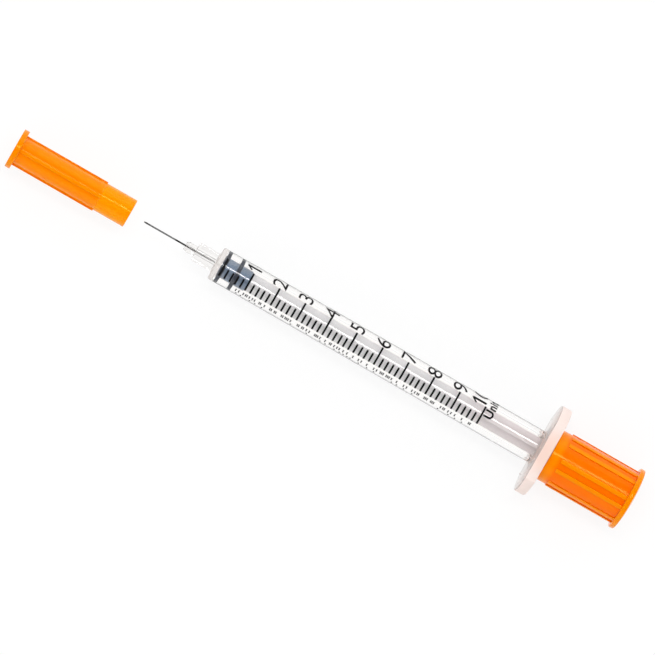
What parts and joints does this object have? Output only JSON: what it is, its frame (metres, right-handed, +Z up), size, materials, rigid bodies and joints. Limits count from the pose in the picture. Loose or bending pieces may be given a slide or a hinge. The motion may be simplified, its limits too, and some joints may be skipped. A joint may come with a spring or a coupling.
{
  "type": "insulin syringe",
  "caption": "Small clear medical syringe with a printed unit scale, fixed fine needle with its cap pulled off, rubber-tipped plunger and an orange cap over the thumb end.",
  "frame": {"origin": "centre of the finger flange's lower flat, on which the syringe lies", "axes": "+X along the syringe towards the thumb end, +Z up, so that the long marks of the scale face up"},
  "size_m": [0.1368, 0.0186, 0.014],
  "materials": {
    "clear_plastic": "clear glossy polypropylene",
    "steel": "drawn steel tube",
    "adhesive": "clear cured adhesive",
    "rubber": "smooth blue-grey rubber",
    "white_plastic": "satin whitish plastic",
    "orange_plastic": "satin orange plastic",
    "ink": "printed black ink"
  },
  "bodies": {
    "barrel": {"barrel": "clear_plastic", "needle": "steel", "needle_glue": "adhesive", "scale_marks": "ink"},
    "plunger": {"plunger": "white_plastic", "stopper": "rubber"},
    "plunger_cap": {"plunger_cap": "orange_plastic"},
    "needle_cap": {"needle_cap": "orange_plastic"}
  },
  "joints": [
    {"name": "plunger_slide", "type": "slide", "parent": "barrel", "child": "plunger", "axis": [1, 0, 0], "range_m": [0, 0.06]},
    {"name": "plunger_cap_slide", "type": "slide", "parent": "plunger", "child": "plunger_cap", "axis": [1, 0, 0], "range_m": [0, 0.022]},
    {"name": "needle_cap_slide", "type": "slide", "parent": "barrel", "child": "needle_cap", "axis": [1, 0, 0], "range_m": [0, 0.0188]}
  ]
}
